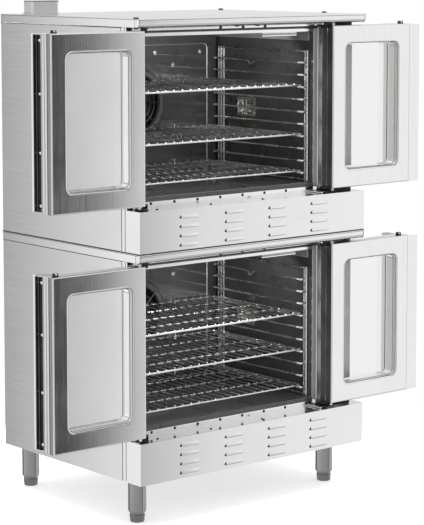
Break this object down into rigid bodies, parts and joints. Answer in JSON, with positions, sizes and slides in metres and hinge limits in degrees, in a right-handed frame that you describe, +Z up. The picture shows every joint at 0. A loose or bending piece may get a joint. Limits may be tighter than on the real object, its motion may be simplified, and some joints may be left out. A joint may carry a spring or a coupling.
{
  "type": "double-stack convection oven",
  "caption": "Two identical convection oven decks stacked on round legs, with paired glass doors swung fully open, wire racks, fans, controls and a top flue.",
  "frame": {"origin": "middle of the underside of the bounding box with the doors fully open, on the floor", "axes": "+Z up, -Y towards the cook in front of the doors, +X to the right seen from the front"},
  "size_m": [1.569, 0.7664, 1.673],
  "materials": {
    "brushed_steel": "brushed",
    "steel_inner": "satin",
    "enamel": "semi-gloss porcelain enamel",
    "chrome_wire": "bright plated wire",
    "cast_iron": "matt",
    "black_plastic": "satin moulded",
    "door_glass": "clear tempered",
    "lamp_glass": "clear"
  },
  "bodies": {
    "root": {"lower_left_side_panel": "brushed_steel", "lower_right_side_panel": "brushed_steel", "lower_body_pan": "brushed_steel", "lower_top_cover": "brushed_steel", "lower_louvered_panel": "brushed_steel", "lower_front_frame": "brushed_steel", "lower_control_panel": "brushed_steel", "lower_cavity_liner": "enamel", "lower_fan_baffle": "enamel", "lower_lamp": "lamp_glass", "lower_fan_motor": "cast_iron", "lower_burner": "cast_iron", "lower_right_rack_guide": "chrome_wire", "lower_left_rack_guide": "chrome_wire", "upper_left_side_panel": "brushed_steel", "upper_right_side_panel": "brushed_steel", "upper_body_pan": "brushed_steel", "upper_top_cover": "brushed_steel", "upper_louvered_panel": "brushed_steel", "upper_front_frame": "brushed_steel", "upper_control_panel": "brushed_steel", "upper_cavity_liner": "enamel", "upper_fan_baffle": "enamel", "upper_lamp": "lamp_glass", "upper_fan_motor": "cast_iron", "upper_burner": "cast_iron", "upper_right_rack_guide": "chrome_wire", "upper_left_rack_guide": "chrome_wire", "front_left_leg": "brushed_steel", "front_right_leg": "brushed_steel", "rear_left_leg": "brushed_steel", "rear_right_leg": "brushed_steel", "flue": "brushed_steel"},
    "lower_thermostat": {"lower_thermostat_knob": "black_plastic"},
    "lower_timer": {"lower_timer_knob": "black_plastic"},
    "lower_switch": {"lower_power_switch": "black_plastic"},
    "lower_fan": {"lower_fan_wheel": "steel_inner"},
    "lower_top_rack": {"lower_top_rack": "chrome_wire"},
    "lower_middle_rack": {"lower_middle_rack": "chrome_wire"},
    "lower_bottom_rack": {"lower_bottom_rack": "chrome_wire"},
    "lower_left_door": {"lower_left_door": "brushed_steel", "lower_left_door_glass": "door_glass", "lower_left_door_handle": "brushed_steel"},
    "lower_right_door": {"lower_right_door": "brushed_steel", "lower_right_door_glass": "door_glass", "lower_right_door_handle": "brushed_steel"},
    "upper_thermostat": {"upper_thermostat_knob": "black_plastic"},
    "upper_timer": {"upper_timer_knob": "black_plastic"},
    "upper_switch": {"upper_power_switch": "black_plastic"},
    "upper_fan": {"upper_fan_wheel": "steel_inner"},
    "upper_top_rack": {"upper_top_rack": "chrome_wire"},
    "upper_middle_rack": {"upper_middle_rack": "chrome_wire"},
    "upper_bottom_rack": {"upper_bottom_rack": "chrome_wire"},
    "upper_left_door": {"upper_left_door": "brushed_steel", "upper_left_door_glass": "door_glass", "upper_left_door_handle": "brushed_steel"},
    "upper_right_door": {"upper_right_door": "brushed_steel", "upper_right_door_glass": "door_glass", "upper_right_door_handle": "brushed_steel"}
  },
  "joints": [
    {"name": "lower_left_door_hinge", "type": "hinge", "parent": "root", "child": "lower_left_door", "pos_m": [-0.4135, -0.35275, 0.575], "axis": [0, 0, -1], "range_deg": [-180, 0]},
    {"name": "lower_right_door_hinge", "type": "hinge", "parent": "root", "child": "lower_right_door", "pos_m": [0.3615, -0.35275, 0.575], "axis": [0, 0, 1], "range_deg": [-180, 0]},
    {"name": "lower_top_rack_slide", "type": "slide", "parent": "root", "child": "lower_top_rack", "axis": [0, -1, 0], "range_m": [0, 0.36]},
    {"name": "lower_middle_rack_slide", "type": "slide", "parent": "root", "child": "lower_middle_rack", "axis": [0, -1, 0], "range_m": [0, 0.36]},
    {"name": "lower_bottom_rack_slide", "type": "slide", "parent": "root", "child": "lower_bottom_rack", "axis": [0, -1, 0], "range_m": [0, 0.36]},
    {"name": "lower_fan_spin", "type": "hinge", "parent": "root", "child": "lower_fan", "pos_m": [-0.025, 0.21925, 0.575], "axis": [0, -1, 0], "continuous": true},
    {"name": "lower_thermostat_turn", "type": "hinge", "parent": "root", "child": "lower_thermostat", "pos_m": [0.4425, -0.30275, 0.648], "axis": [0, 1, 0], "range_deg": [0, 300]},
    {"name": "lower_timer_turn", "type": "hinge", "parent": "root", "child": "lower_timer", "pos_m": [0.4425, -0.30275, 0.518], "axis": [0, 1, 0], "range_deg": [0, 300]},
    {"name": "lower_switch_rock", "type": "hinge", "parent": "root", "child": "lower_switch", "pos_m": [0.4425, -0.28575, 0.768], "axis": [-1, 0, 0], "range_deg": [0, 14]},
    {"name": "upper_left_door_hinge", "type": "hinge", "parent": "root", "child": "upper_left_door", "pos_m": [-0.4135, -0.35275, 1.315], "axis": [0, 0, -1], "range_deg": [-180, 0]},
    {"name": "upper_right_door_hinge", "type": "hinge", "parent": "root", "child": "upper_right_door", "pos_m": [0.3615, -0.35275, 1.315], "axis": [0, 0, 1], "range_deg": [-180, 0]},
    {"name": "upper_top_rack_slide", "type": "slide", "parent": "root", "child": "upper_top_rack", "axis": [0, -1, 0], "range_m": [0, 0.36]},
    {"name": "upper_middle_rack_slide", "type": "slide", "parent": "root", "child": "upper_middle_rack", "axis": [0, -1, 0], "range_m": [0, 0.36]},
    {"name": "upper_bottom_rack_slide", "type": "slide", "parent": "root", "child": "upper_bottom_rack", "axis": [0, -1, 0], "range_m": [0, 0.36]},
    {"name": "upper_fan_spin", "type": "hinge", "parent": "root", "child": "upper_fan", "pos_m": [-0.025, 0.21925, 1.315], "axis": [0, -1, 0], "continuous": true},
    {"name": "upper_thermostat_turn", "type": "hinge", "parent": "root", "child": "upper_thermostat", "pos_m": [0.4425, -0.30275, 1.388], "axis": [0, 1, 0], "range_deg": [0, 300]},
    {"name": "upper_timer_turn", "type": "hinge", "parent": "root", "child": "upper_timer", "pos_m": [0.4425, -0.30275, 1.258], "axis": [0, 1, 0], "range_deg": [0, 300]},
    {"name": "upper_switch_rock", "type": "hinge", "parent": "root", "child": "upper_switch", "pos_m": [0.4425, -0.28575, 1.508], "axis": [-1, 0, 0], "range_deg": [0, 14]}
  ]
}
